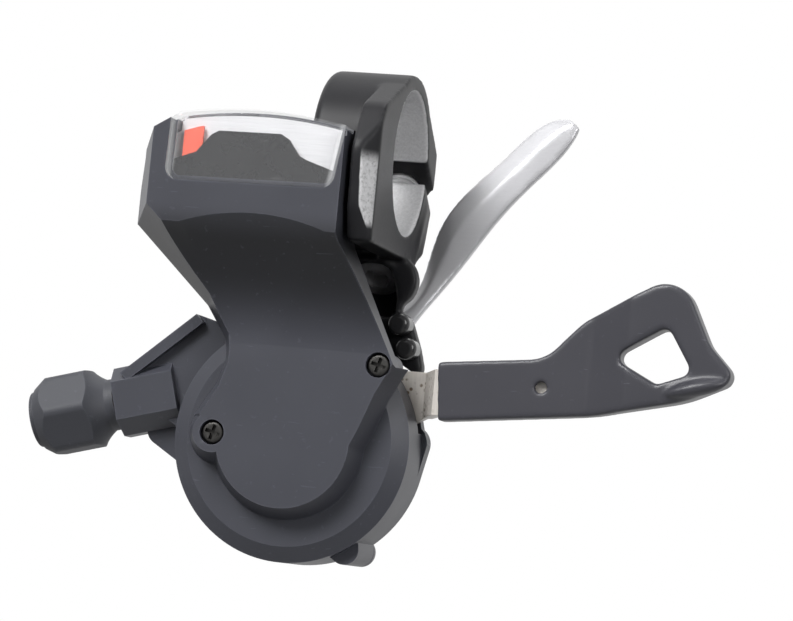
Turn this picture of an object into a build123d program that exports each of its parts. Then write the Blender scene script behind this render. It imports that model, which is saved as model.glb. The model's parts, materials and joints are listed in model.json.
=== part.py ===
from build123d import *
import os
from math import acos, atan2, cos, degrees, hypot, radians, sin

# Trigger gear shifter for a 22.2 mm handlebar, in millimetres.
# The origin is the centre of the handlebar bore. +X runs along the bar to its open end, +Z is up
# and +Y points away from the rider. A depth is measured from the bar's axis towards the rider (-Y).

# Handlebar clamp
BAR_RADIUS = 11.1
CLAMP_WIDTH = 13.0
BAND_WALL = 2.5
BAND_CHAMFER = 0.8
FLANGE_START = 2.6
FLANGE_FRONT = 23.0
FLANGE_CHAMFER = 2.4
CLAMP_GAP = 2.8
BOLT_X = 1.5
BOLT_RADIUS = 2.5
BOLT_HEAD_RADIUS = 3.9
BOLT_HEAD_HEIGHT = 4.0
BOLT_SOCKET = 4.0
BOLT_TILT = 57.0
BOLT_GRIP = 14.0
BOLT_OFFSET = 14.2
BOSS_WALL = 1.3
SKIRT_LENGTH = 5.0
LUG_START = -3.2
ARM_THICKNESS = 3.0
ARM_SCREW_REACH = 13.2
STOP_HEIGHT = 3.6
STOP_ROUND = 0.9
STOP_OVERHANG = 0.3
UPPER_STOP_RADIUS = 1.75
UPPER_STOP_GAP = 3.39717
UPPER_STOP_ANGLE = 58.07232
LOWER_STOP_RADIUS = 1.7
LOWER_STOP_GAP = 1.34596
LOWER_STOP_ANGLE = 49.36959

# Mechanism axis and case
PIVOT_X = -5.3
PIVOT_Z = -44.8
CASE_RADIUS = 18.3
CASE_BORE = 15.4
CASE_BACK = -0.5
CASE_FRONT = 12.5
CASE_EDGE = 1.6
RING_RADIUS = 15.9
FLANGE_THICKNESS = 1.7
SLOT_START = 10.0
SLOT_END = 49.0
BACK_COVER_THICKNESS = 1.7
BACK_SCREW_INSET = 1.4
FOOT_RADIUS = 2.25
FOOT_ANGLE = -58.7
FOOT_REACH = 18.1

# Display head, neck and face, one moulding
FACE_WALL = 2.4
HEAD_FRONT = 24.5
HEAD_BACK = 15.0
HEAD_LEFT = -32.5
HEAD_RIGHT = 1.9
HEAD_TOP = 3.6
HEAD_TOP_DROP_LEFT = 3.9
HEAD_TOP_DROP_RIGHT = 2.6
HEAD_BOTTOM = -14.0
NECK_END = -31.0
ARCH_X = -11.0
ARCH_RADIUS = 33.0
ARCH_RISE = 2.0
SCOOP_MIDDLE = -23.6
SCOOP_SAG = 1.55
COVER_WALL = 1.6
CORNER_WALL = 1.95
COVER_TAPER = 22.0
FACE_RADIUS = 11.9
LOBE_RADIUS = 4.6
WINDOW_ROUND = 2.0
LENS_THICKNESS = 1.2
LENS_RIM = 0.6
LENS_BACK = 19.5
LENS_LEDGE = 0.8
DIAL_PLAY = 0.1
DIAL_DEPTH = 20.5
DIAL_THICKNESS = 0.6
MASK_THICKNESS = 0.55
BASE_THICKNESS = 1.2

# Gear needle and the spiral that turns it
NEEDLE_REACH = 8.07
NEEDLE_LEAN = 33.9
NEEDLE_TAIL = 5.4
NEEDLE_STEP = 28.0
NEEDLE_PLAY = 0.4
NEEDLE_THICKNESS = 0.8
NEEDLE_SWEEP = 26.0
NEEDLE_REST = 18.65
FLAG_DEPTH = 21.5
FLAG_WIDTH = 3.0
FLAG_HEIGHT = 5.0
FLAG_DROP = 5.25
FLAG_THICKNESS = 0.5
TAIL_PIN_RADIUS = 0.75
SPIRAL_DEPTH = 1.1

# Drum, ratchet and pawls
DRUM_SWEEP = 120.0
DRUM_RADIUS = 10.7
DRUM_BACK = 6.0
DRUM_STEP = 10.3
DRUM_FRONT = 12.4
DRUM_FACE_RADIUS = 8.6
CABLE_RADIUS = 0.9
CABLE_DEPTH = 7.4
RATCHET_TEETH = 24
RATCHET_TIP = 10.6
RATCHET_ROOT = 9.3
RATCHET_THICKNESS = 1.6
PAWL_PIN_REACH = 13.2
PAWL_PIN_RADIUS = 1.0
PAWL_SPAN = 42.0
PAWL_BAR = 1.75
PAWL_NOSE = 0.8
PAWL_THICKNESS = 1.3
DRIVE_PAWL_ANGLE = 95.0
HOLDING_PAWL_ANGLE = 215.0

# Axle
AXLE_RADIUS = 3.0
AXLE_HEAD_RADIUS = 3.5
AXLE_HEAD_HEIGHT = 1.0
THREAD_RADIUS = 2.5
WASHER_RADIUS = 5.0
WASHER_THICKNESS = 0.8
NUT_FLATS = 8.0
NUT_HEIGHT = 3.2

# Push lever
PLATE_BACK = 2.2
PLATE_THICKNESS = 1.8
PLATE_WIDTH = 6.9
PLATE_RISE = 10.0
GRIP_START = 17.1
GRIP_BACK = 11.4
GRIP_FRONT = 15.4
PADDLE_BACK = 13.0
PADDLE_FRONT = 18.4
GRIP_HOLE_RADIUS = 0.9
LEVER_TRAVEL = 30.0

# Release lever
RELEASE_THICKNESS = 2.4
RELEASE_BLADE = 3.0
RELEASE_BACK_STEP = 9.0
RELEASE_RIDGE = 0.52
RELEASE_BEVEL = 0.6
RELEASE_EDGE = 0.12
BUSH_WALL = 1.2

# Cable adjuster
ADJUSTER_X = -34.4
ADJUSTER_Z = -40.9
ADJUSTER_DEPTH = 5.0
ADJUSTER_TILT = 15.5
BOSS_LENGTH = 12.6
BOSS_SHOULDER = 9.8
BOSS_TAPER = 40.0
BOSS_FLAT = 9.6
BOSS_FACE = 2.95
BOSS_WAIST = 1.6
BOSS_HALF = 5.3
BARREL_FLATS = 11.7
BARREL_LENGTH = 12.1
BARREL_NECK_RADIUS = 4.0
BARREL_NECK_LENGTH = 1.4
BARREL_SLOPE = 2.9
BARREL_RIM_RADIUS = 4.3
SHANK_RADIUS = 2.9
SHANK_LENGTH = 7.0
SLEEVE_WALL = 1.2
HOUSING_SOCKET_RADIUS = 2.55
HOUSING_SOCKET_DEPTH = 8.0
CABLE_HOLE_RADIUS = 1.1

# Screws and clearances
SCREW_HEAD_RADIUS = 1.7
SCREW_HEAD_HEIGHT = 1.4
SCREW_RADIUS = 0.9
SCREW_RECESS = 0.4
RUN_CLEARANCE = 0.05
SIDE_CLEARANCE = 0.3

BAND_RADIUS = BAR_RADIUS + BAND_WALL
COVER_BACK = CASE_BACK - BACK_COVER_THICKNESS
ARM_BACK = COVER_BACK - ARM_THICKNESS
RELEASE_FRONT = ARM_BACK - SIDE_CLEARANCE
RELEASE_BACK = RELEASE_FRONT - RELEASE_THICKNESS
WASHER_FRONT = RELEASE_BACK - SIDE_CLEARANCE
PAWL_DEPTH = PLATE_BACK + PLATE_THICKNESS + SIDE_CLEARANCE
NEEDLE_DEPTH = CASE_FRONT + NEEDLE_PLAY
COVER_INSIDE = NEEDLE_DEPTH + NEEDLE_THICKNESS + SIDE_CLEARANCE
FACE_FRONT = COVER_INSIDE + FACE_WALL
AXLE_HOLE = AXLE_RADIUS + RUN_CLEARANCE
PIN_HOLE = PAWL_PIN_RADIUS + RUN_CLEARANCE


def at_depth(sketch, depth):
    """Place a sketch drawn in X and Z at a depth towards the rider."""
    return Plane.XZ.offset(depth) * sketch


def slab(sketch, back, front, taper=0):
    """A solid between two depths from a sketch drawn in X and Z."""
    return extrude(at_depth(sketch, back), amount=front - back, taper=taper)


def across(sketch, start, end):
    """A solid between two places along the bar from a sketch drawn in Y and Z."""
    return extrude(Plane.YZ.offset(start) * sketch, amount=end - start)


def upward(sketch, bottom, top):
    """A solid between two heights from a sketch drawn in X and depth."""
    face = Plane.XY.offset(bottom) * mirror(sketch, about=Plane.XZ)
    return extrude(face, amount=top - bottom)


def outline(*points):
    """A closed flat outline with straight edges."""
    return make_face(Polyline(*points, close=True))


def on_pivot(reach, angle):
    """The place at a distance and an angle from the mechanism axis."""
    return (PIVOT_X + reach * cos(radians(angle)), PIVOT_Z + reach * sin(radians(angle)))


def disc(radius, centre=(PIVOT_X, PIVOT_Z)):
    """A round sketch, on the mechanism axis unless another centre is given."""
    return Pos(*centre) * Circle(radius)


def rod(radius, back, front, centre=(PIVOT_X, PIVOT_Z)):
    """A round bar parallel to the mechanism axis."""
    return slab(disc(radius, centre), back, front)


def hull(*circles):
    """The outline of a band stretched around circles given as centre and radius."""
    edges = ShapeList()
    for centre, radius in circles:
        edges += disc(radius, centre).edges()
    return make_hull(edges)


def bolt_plane():
    """The clamp bolt's frame: local z up the bolt, the origin in the middle of the clamp gap."""
    along = (0, cos(radians(BOLT_TILT)), sin(radians(BOLT_TILT)))
    away = (0, sin(radians(BOLT_TILT)), -cos(radians(BOLT_TILT)))
    gap_rise = 6.1
    origin = tuple(BOLT_OFFSET * a + gap_rise * u for a, u in zip(away, along))
    return Plane(origin=(BOLT_X, origin[1], origin[2]), x_dir=(1, 0, 0), z_dir=along)


def on_bolt(radius, start, end):
    """A round bar on the bolt's axis between two places along it."""
    return bolt_plane() * Pos(0, 0, start) * extrude(Circle(radius), amount=end - start)


def adjuster_plane():
    """The adjuster's frame: local z along the cable into the case, the origin at the boss's end."""
    along = (cos(radians(ADJUSTER_TILT)), 0, sin(radians(ADJUSTER_TILT)))
    return Plane(origin=(ADJUSTER_X, -ADJUSTER_DEPTH, ADJUSTER_Z), x_dir=(0, -1, 0), z_dir=along)


def on_adjuster(sketch, start, end, taper=0):
    """A solid on the adjuster's axis between two places along it."""
    return adjuster_plane() * Pos(0, 0, start) * extrude(sketch, amount=end - start, taper=taper)


# Places that several pieces share
FACE_SCREWS = [(8.3, -32.5), (-16.3, -44.6)]
ARM_SCREW = on_pivot(ARM_SCREW_REACH, 105)
FOOT = on_pivot(FOOT_REACH, FOOT_ANGLE)
BACK_SCREWS = [FOOT, on_pivot(CASE_RADIUS - BACK_SCREW_INSET, 142)]
NEEDLE_PIVOT = on_pivot(NEEDLE_REACH, 90 + NEEDLE_LEAN)
NEEDLE_LENGTH = (HEAD_TOP - FLAG_DROP - NEEDLE_PIVOT[1]) / cos(radians(NEEDLE_REST))
FLAG_REACH = HEAD_TOP - LENS_RIM - 2 * SIDE_CLEARANCE - NEEDLE_PIVOT[1]
DRIVE_PIN = on_pivot(PAWL_PIN_REACH, DRIVE_PAWL_ANGLE)
HOLDING_PIN = on_pivot(PAWL_PIN_REACH, HOLDING_PAWL_ANGLE)
UPPER_STOP = on_pivot(CASE_RADIUS + UPPER_STOP_GAP + UPPER_STOP_RADIUS, UPPER_STOP_ANGLE)
LOWER_STOP = on_pivot(CASE_RADIUS + LOWER_STOP_GAP + LOWER_STOP_RADIUS, LOWER_STOP_ANGLE)
TRAVEL_STOPS = [(UPPER_STOP, UPPER_STOP_RADIUS), (LOWER_STOP, LOWER_STOP_RADIUS)]
BOSS_END = -BOLT_GRIP - BOLT_HEAD_HEIGHT - 0.5


def clamp_bracket():
    """Cast clamp: split band, front block, lugs on the bolt and the arm that carries the case."""
    half = CLAMP_WIDTH / 2
    flange = outline((-3, BAND_RADIUS - 0.3), (-18.8, 6.4), (-FLANGE_FRONT, -0.5), (-22.6, -9.5),
                     (-20.6, -14.6), (9, -14.9), (14.2, -12.8), (15.6, -9.5), (15.9, 4.6), (12.4, 7.6),
                     (6.5, 11.6))
    flange = fillet(flange.vertices().sort_by(Axis.X)[0:2] + flange.vertices().sort_by(Axis.X)[3:4], 4.0)
    block = across(flange, FLANGE_START, half)
    front = FLANGE_FRONT + 1
    reach = FLANGE_CHAMFER + 1
    block -= upward(outline((half - reach, front), (half + 1, front), (half + 1, front - reach - 1)), -20, 10)
    lug = outline((6.5, 11.4), (12.4, 7.6), (17.5, 4.0), (17.2, -5), (15.6, -9.5), (14.2, -12.8),
                  (9, -14.9), (3, -13.4))
    lugs = across(lug, LUG_START, half)
    boss_radius = BOLT_HEAD_RADIUS + BOSS_WALL
    boss = on_bolt(boss_radius, BOSS_END, -CLAMP_GAP) + on_bolt(BOLT_RADIUS + 2.2, -CLAMP_GAP, 5)
    skirt = on_bolt(boss_radius, BOSS_END - SKIRT_LENGTH, BOSS_END)
    boss += skirt & slab(Rectangle(120, 120), ARM_BACK - 8, COVER_BACK)
    arm = hull(((-0.5, -16.5), 5.4), ((PIVOT_X, PIVOT_Z), 6.5), (ARM_SCREW, 3.2))
    arm += hull(((-0.5, -16.5), 5.4), ((4.4, -18.0), 4.2))
    ear = [(place, radius - STOP_OVERHANG) for place, radius in TRAVEL_STOPS]
    arm += hull(((0, -23), 3.0), *ear, ((9.9, -31.4), 0.9))
    band = across(Circle(BAND_RADIUS), -half, half)
    band = chamfer(band.edges().filter_by(GeomType.CIRCLE).sort_by(Axis.X)[0], BAND_CHAMFER)
    body = band + block + lugs + boss
    body += slab(arm, ARM_BACK, COVER_BACK)
    body -= across(Circle(BAR_RADIUS), -half - 1, half + 1)
    gap = bolt_plane() * Pos(0, 2.0, 0) * Box(4 * CLAMP_WIDTH, 16, CLAMP_GAP)
    body -= gap
    body -= on_bolt(BOLT_RADIUS + RUN_CLEARANCE, -BOLT_GRIP - 1, 8)
    body -= on_bolt(BOLT_HEAD_RADIUS + 0.2, BOSS_END - 6, -BOLT_GRIP)
    body -= rod(AXLE_HOLE, ARM_BACK - 1, COVER_BACK + 1)
    body -= rod(SCREW_RADIUS + RUN_CLEARANCE, ARM_BACK - 1, COVER_BACK + 1, ARM_SCREW)
    return body


def clamp_bolt():
    """Socket-head bolt that closes the clamp."""
    bolt = on_bolt(BOLT_RADIUS, -BOLT_GRIP, 5)
    bolt += on_bolt(BOLT_HEAD_RADIUS, -BOLT_GRIP - BOLT_HEAD_HEIGHT, -BOLT_GRIP)
    socket = RegularPolygon(BOLT_SOCKET / 2, 6, major_radius=False)
    head_face = -BOLT_GRIP - BOLT_HEAD_HEIGHT
    return bolt - bolt_plane() * Pos(0, 0, head_face) * extrude(socket, amount=2.4)


def travel_stops():
    """Two rubber sleeves on the bracket's ear that stop the levers softly."""
    front = COVER_BACK + STOP_HEIGHT
    pieces = []
    for place, radius in TRAVEL_STOPS:
        sleeve = rod(radius, COVER_BACK, front, place)
        rim = sleeve.faces().sort_by(Axis.Y)[0].edges()
        pieces.append(fillet(rim, STOP_ROUND).solid())
    return Compound(pieces)


def inset_by(face, inset):
    """A straight-edged outline moved inwards."""
    return offset(face, -inset, kind=Kind.INTERSECTION) if inset else face


def face_body(inset, front):
    """The moulding's lower part: round face, lobe of the left screw and waist, with sloping sides."""
    waist = outline((-20.0, -25.3), (-16.7, -30.0), (-16.2, -33.0), (-17.4, -37.0), (-20.4, -42.0),
                    on_pivot(FACE_RADIUS - 1, 215), on_pivot(FACE_RADIUS - 0.4, -44), (7.6, -43.0),
                    (9.6, -37.5), (11.8, -33.2), (15, -28), (15, -25.3))
    body = slab(disc(FACE_RADIUS - inset), CASE_FRONT, front, COVER_TAPER)
    body += slab(disc(LOBE_RADIUS - inset, FACE_SCREWS[1]), CASE_FRONT, front, COVER_TAPER)
    return body + slab(inset_by(waist, inset), CASE_FRONT, front, COVER_TAPER)


def head_body(inset, profile):
    """The moulding's upper part: display head and neck, with sloping sides and the side view's front."""
    face = outline((HEAD_LEFT, 12), (HEAD_LEFT, -13.7), (-20.0, -25.3), (-16.4, -30.6), (-16.4, -37),
                   (9.8, -37), (11.8, -33.2), (15, -28), (15, 12))
    body = slab(inset_by(face, inset), CASE_FRONT, HEAD_FRONT + 2, COVER_TAPER)
    return body & across(profile, HEAD_LEFT - 5, 30)


def head_top(drop=0.0):
    """The space above the head: everything over its gently arched top edge."""
    left = (HEAD_LEFT - 2, HEAD_TOP - HEAD_TOP_DROP_LEFT - drop)
    right = (HEAD_RIGHT + 4, HEAD_TOP - HEAD_TOP_DROP_RIGHT - drop)
    arch = ThreePointArc(left, (-11.8, HEAD_TOP - drop), right)
    walls = Polyline(right, (right[0], 20), (left[0], 20), left)
    return make_face(arch + walls)


def right_side(inset=0.0):
    """The space to the right of the head's and neck's straight side wall."""
    return outline((10.8 - inset, -32.6), (2.2 - inset, -15.2), (HEAD_RIGHT - inset, -14.2),
                   (HEAD_RIGHT - inset, 20), (20, 20), (20, -32.6))


def side_profile(wall=0.0):
    """Side view of the moulding: head, overhanging scoop and flat face, in Y and Z."""
    face = FACE_FRONT - (FACE_FRONT - COVER_INSIDE if wall else 0)
    head = HEAD_FRONT - wall
    bottom = HEAD_BOTTOM + wall
    scoop = ThreePointArc((-head, bottom), (-face - SCOOP_SAG, SCOOP_MIDDLE), (-face, NECK_END))
    back = Polyline((-face, NECK_END), (-face, -36), (-CASE_FRONT, -36), (-CASE_FRONT, -8.5),
                    (-HEAD_BACK, -4.0), (-HEAD_BACK, 20), (-head, 20), (-head, bottom))
    return make_face(scoop + back)


def head_corner(drop=0.0):
    """The space beyond the head's cut upper left corner."""
    return outline((-36, -5.3 - drop), (-24.0, 2.3 - drop), (-24.0, 9), (-36, 9))


def thumb_arch():
    """Turned hollow that runs into the scoop and arches the head's lower front edge."""
    top = HEAD_BOTTOM + ARCH_RISE
    axis = top - ARCH_RADIUS
    middle = (-FACE_FRONT - SCOOP_SAG, SCOOP_MIDDLE + ARCH_RISE / 2)
    scoop = ThreePointArc((-HEAD_FRONT, top), middle, (-FACE_FRONT, NECK_END))
    walls = Polyline((-FACE_FRONT, NECK_END), (-FACE_FRONT, axis), (-HEAD_FRONT - 1, axis),
                     (-HEAD_FRONT - 1, top), (-HEAD_FRONT, top))
    section = Plane.YZ.offset(ARCH_X) * make_face(scoop + walls)
    return revolve(section, Axis((ARCH_X, 0, axis), (0, 1, 0)))


def window(inset=0.0):
    """Front view of the display window; its top is cut by the head's arch."""
    face = inset_by(outline((-25.0, 8), (3.0, 8), (0.7, -7.5), (-25.4, -7.8)), inset)
    return fillet(face.vertices().sort_by(Axis.Y)[:2], WINDOW_ROUND - inset)


def display_cover():
    """Display head, neck and flat round face, moulded in one piece and open at the back."""
    body = face_body(0, FACE_FRONT) + head_body(0, side_profile())
    body -= slab(right_side(), 0, 40)
    body -= slab(head_top(), 0, 40)
    body -= slab(head_corner(), 0, 40)
    body -= thumb_arch()
    inside = face_body(COVER_WALL, COVER_INSIDE) + head_body(COVER_WALL, side_profile(COVER_WALL))
    inside -= slab(right_side(COVER_WALL), 0, 40)
    inside -= slab(head_top(COVER_WALL), 0, 40)
    inside -= slab(head_corner(CORNER_WALL), 0, 40)
    for place in FACE_SCREWS:
        inside -= rod(SCREW_HEAD_RADIUS + COVER_WALL, 0, 40, place)
    body -= inside
    body -= slab(window(), HEAD_FRONT - LENS_THICKNESS, 40)
    body -= slab(window() & (head_top(LENS_RIM) + head_corner(LENS_RIM)), LENS_BACK, 40)
    body -= slab(window(LENS_LEDGE), LENS_BACK, 40)
    for place in FACE_SCREWS:
        body -= rod(SCREW_HEAD_RADIUS + 0.2, FACE_FRONT - SCREW_RECESS - SCREW_HEAD_HEIGHT, 40, place)
        body -= rod(SCREW_RADIUS + RUN_CLEARANCE, 0, 40, place)
    body -= rod(PAWL_PIN_RADIUS, 0, COVER_INSIDE + 1.2, NEEDLE_PIVOT)
    return body


def display_lens():
    """Clear window: a front pane and a lip that wraps back over the top of the head."""
    pane = window() - head_top() - head_corner() - right_side()
    hollow = window() - head_top(LENS_RIM) - head_corner(LENS_RIM)
    return slab(pane, LENS_BACK, HEAD_FRONT) - slab(hollow, LENS_BACK - 1, HEAD_FRONT - LENS_THICKNESS)


def dial_plate():
    """Silver dial behind the needle."""
    face = outline((-25.3, 8), (0.2, 8), (0.2, -8.2), (-25.3, -8.2))
    face -= head_top(COVER_WALL) + head_corner(CORNER_WALL + DIAL_PLAY)
    rim = LENS_RIM + DIAL_PLAY
    face += window(LENS_LEDGE + DIAL_PLAY) - head_top(rim) - head_corner(rim)
    return slab(face, DIAL_DEPTH, DIAL_DEPTH + DIAL_THICKNESS)


def dial_mask():
    """Black field in front of the needle, with a flat-topped hill in the middle."""
    face = outline((-25.2, -4.7), (-21.2, -3.2), (-19.1, -0.5), (-17.9, 0.2), (-8.3, 0.3), (-6.9, -0.5),
                   (-5.2, -2.8), (-3.9, -3.4), (0.2, -4.7), (0.2, -8.6), (-25.2, -8.6))
    front = HEAD_FRONT - COVER_WALL
    return slab(face, front - MASK_THICKNESS, front)


def indicator_base():
    """Bent plate that closes the back of the display head and neck."""
    face = outline((-30.4, -3.0), (-26.0, 0.6), (1.4, 0.8), (1.4, -14.6), (5.6, -25.4), (-19.6, -25.4),
                   (-30.4, -14.6))
    bend = outline((-CASE_FRONT, -30), (-CASE_FRONT, -8.5), (-HEAD_BACK, -4.0), (-HEAD_BACK, 10),
                   (BASE_THICKNESS - HEAD_BACK, 10), (BASE_THICKNESS - HEAD_BACK, -4.4),
                   (BASE_THICKNESS - CASE_FRONT, -8.9), (BASE_THICKNESS - CASE_FRONT, -30))
    return slab(face, 0, 40) & across(bend, HEAD_LEFT - 5, 30)


def tail_place(turn):
    """Where the needle's tail pin is when the needle has turned by an angle from rest."""
    to_axis = degrees(atan2(PIVOT_Z - NEEDLE_PIVOT[1], PIVOT_X - NEEDLE_PIVOT[0]))
    middle = to_axis + degrees(acos(NEEDLE_TAIL / NEEDLE_REACH))
    angle = radians(middle + NEEDLE_SWEEP / 2 - turn)
    return (NEEDLE_PIVOT[0] + NEEDLE_TAIL * cos(angle), NEEDLE_PIVOT[1] + NEEDLE_TAIL * sin(angle))


def spiral_groove():
    """Path of the tail pin over the drum's face, one point for each step of the drum."""
    points = []
    for step in range(-1, 10):
        drum_turn = DRUM_SWEEP * step / 8
        x, z = tail_place(NEEDLE_SWEEP * step / 8)
        reach = hypot(x - PIVOT_X, z - PIVOT_Z)
        angle = degrees(atan2(z - PIVOT_Z, x - PIVOT_X)) - drum_turn
        points.append(on_pivot(reach, angle))
    return trace(Spline(*points), 2 * (TAIL_PIN_RADIUS + 0.15))


def gear_needle():
    """Needle: a flat arm with a tail pin, stepped forward to the flag behind the window."""
    px, pz = NEEDLE_PIVOT
    lean = radians(90 + NEEDLE_REST)
    step = (px + NEEDLE_STEP * cos(lean), pz + NEEDLE_STEP * sin(lean))
    flag = (px + NEEDLE_LENGTH * cos(lean), pz + NEEDLE_LENGTH * sin(lean))
    front = NEEDLE_DEPTH + NEEDLE_THICKNESS
    flag_front = FLAG_DEPTH + FLAG_THICKNESS
    arm = slab(hull((NEEDLE_PIVOT, 1.9), (step, 0.9)), NEEDLE_DEPTH, front)
    arm += slab(hull((NEEDLE_PIVOT, 1.9), (tail_place(0), 1.1)), NEEDLE_DEPTH, front)
    arm += rod(0.9, NEEDLE_DEPTH, flag_front, step)
    arm += slab(hull((step, 0.9), (flag, 0.9)), FLAG_DEPTH, flag_front)
    plate = Pos(*flag) * Rectangle(FLAG_WIDTH, FLAG_HEIGHT) & disc(FLAG_REACH, NEEDLE_PIVOT)
    arm += slab(plate, FLAG_DEPTH, flag_front)
    arm += rod(TAIL_PIN_RADIUS, DRUM_FRONT - SPIRAL_DEPTH + SIDE_CLEARANCE, NEEDLE_DEPTH, tail_place(0))
    return arm - rod(PIN_HOLE, 0, 40, NEEDLE_PIVOT)


def needle_pin():
    """Steel pin in the moulding that the needle swings on."""
    return rod(PAWL_PIN_RADIUS, DRUM_FRONT + SIDE_CLEARANCE / 2, COVER_INSIDE + 1.2, NEEDLE_PIVOT)


def main_case():
    """Round case: ring face, side wall, lever slot, adjuster boss, gusset and foot lug."""
    drum_case = rod(CASE_RADIUS, CASE_BACK, CASE_FRONT - CASE_EDGE)
    slope = degrees(atan2(CASE_RADIUS - RING_RADIUS, CASE_EDGE))
    drum_case += slab(disc(CASE_RADIUS), CASE_FRONT - CASE_EDGE, CASE_FRONT, slope)
    gusset = outline((-33.9, -36.5), (-22.6, -26.5), (-14, -29), (-14, -40), (-24, -44), (-33.2, -39))
    body = drum_case + slab(gusset, 1.5, 8.0)
    rib = outline((-33.9, -36.5), (-22.6, -26.5), (-21.4, -27.7), (-32.6, -37.5))
    body += slab(rib, 1.5, 9.4)
    flat = BOSS_FLAT - ADJUSTER_DEPTH
    bar = outline((flat, -BOSS_FACE), (BOSS_WAIST, -BOSS_HALF), (-BOSS_WAIST, -BOSS_HALF),
                  (-flat, -BOSS_FACE), (-flat, BOSS_FACE), (-BOSS_WAIST, BOSS_HALF),
                  (BOSS_WAIST, BOSS_HALF), (flat, BOSS_FACE))
    body += on_adjuster(bar, 0, BOSS_SHOULDER)
    body += on_adjuster(bar, BOSS_SHOULDER, BOSS_LENGTH, BOSS_TAPER)
    body += slab(hull(((-27.2, -44.5), 2.4), (on_pivot(16.0, 190), 3.0)), CASE_BACK, 6.0)
    body += slab(hull((FOOT, FOOT_RADIUS), (on_pivot(15.6, FOOT_ANGLE), FOOT_RADIUS + 1)), CASE_BACK, 9.2)
    body += rod(SCREW_HEAD_RADIUS + 0.5, 9.0, CASE_FRONT, FACE_SCREWS[0])
    body += slab(hull((on_pivot(16.2, 6), 2.9), (on_pivot(15.3, -14), 3.0)), CASE_BACK, PLATE_BACK)
    body -= rod(CASE_BORE, CASE_BACK - 1, CASE_FRONT - FLANGE_THICKNESS)
    body -= rod(DRUM_FACE_RADIUS + 0.4, 0, 40)
    slot = outline((PIVOT_X, PIVOT_Z), on_pivot(40, SLOT_START), on_pivot(40, 42),
                   on_pivot(40, SLOT_END + LEVER_TRAVEL))
    body -= slab(slot - disc(CASE_BORE - 1), PLATE_BACK - 0.5, PLATE_BACK + PLATE_THICKNESS + 0.5)
    body -= on_adjuster(Circle(SHANK_RADIUS + RUN_CLEARANCE + SLEEVE_WALL), -1, SHANK_LENGTH + 2)
    body -= on_adjuster(Circle(CABLE_HOLE_RADIUS), 0, 24)
    for place in FACE_SCREWS:
        body -= rod(SCREW_RADIUS + RUN_CLEARANCE, 9.0, 40, place)
    for place in BACK_SCREWS:
        body -= rod(SCREW_RADIUS + RUN_CLEARANCE, CASE_BACK - 1, CASE_BACK + 5, place)
    return body


def back_cover():
    """Thin cover over the back of the case, with the seat of the spring and the pawl pin."""
    face = disc(CASE_RADIUS - 0.4) + hull((FOOT, FOOT_RADIUS), (on_pivot(14, FOOT_ANGLE), FOOT_RADIUS))
    body = slab(face, COVER_BACK, CASE_BACK)
    body += rod(PAWL_PIN_RADIUS + 1.2, CASE_BACK, PAWL_DEPTH - SIDE_CLEARANCE, HOLDING_PIN)
    body += rod(SCREW_RADIUS + 1, CASE_BACK, PLATE_BACK - 0.5, ARM_SCREW)
    body -= rod(AXLE_HOLE, -20, 20)
    body -= rod(PAWL_PIN_RADIUS, -20, 20, HOLDING_PIN)
    body -= rod(SCREW_RADIUS + RUN_CLEARANCE, -20, PLATE_BACK - 1, ARM_SCREW)
    for place in BACK_SCREWS:
        body -= rod(SCREW_RADIUS + RUN_CLEARANCE, -20, 20, place)
    return body


def screw(place, seat, length, toward_rider):
    """A small pan-head screw; its head rests on the seat and faces the rider or the back."""
    way = 1 if toward_rider else -1
    head = sorted((seat, seat + way * SCREW_HEAD_HEIGHT))
    shank = sorted((seat, seat - way * length))
    return rod(SCREW_HEAD_RADIUS, *head, place) + rod(SCREW_RADIUS, *shank, place)


def cover_screws():
    """The two screws that hold the display moulding to the case."""
    seat = FACE_FRONT - SCREW_RECESS - SCREW_HEAD_HEIGHT
    return Compound([screw(FACE_SCREWS[0], seat, 5.2, True).solid(),
                     screw(FACE_SCREWS[1], seat, 3.6, True).solid()])


def back_screws():
    """Screws of the back cover, and the one that holds the bracket arm to it."""
    pieces = [screw(place, COVER_BACK, 6.0, False).solid() for place in BACK_SCREWS]
    pieces.append(screw(ARM_SCREW, ARM_BACK, PLATE_BACK - 1.2 - ARM_BACK, False).solid())
    return Compound(pieces)


def pivot_axle():
    """Headed axle of the whole mechanism, threaded at the back."""
    head_back = DRUM_FRONT - SIDE_CLEARANCE - AXLE_HEAD_HEIGHT
    thread_front = WASHER_FRONT
    body = rod(AXLE_HEAD_RADIUS, head_back, head_back + AXLE_HEAD_HEIGHT)
    body += rod(AXLE_RADIUS, thread_front, head_back)
    return body + rod(THREAD_RADIUS, thread_front - WASHER_THICKNESS - NUT_HEIGHT - 0.8, thread_front)


def axle_washer():
    """Washer under the axle nut."""
    ring = disc(WASHER_RADIUS) - disc(THREAD_RADIUS + RUN_CLEARANCE)
    return slab(ring, WASHER_FRONT - WASHER_THICKNESS, WASHER_FRONT)


def axle_nut():
    """Hexagonal nut that ties the axle to the bracket arm."""
    face = Pos(PIVOT_X, PIVOT_Z) * RegularPolygon(NUT_FLATS / 2, 6, major_radius=False)
    front = WASHER_FRONT - WASHER_THICKNESS
    return slab(face - disc(THREAD_RADIUS + RUN_CLEARANCE), front - NUT_HEIGHT, front)


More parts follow.
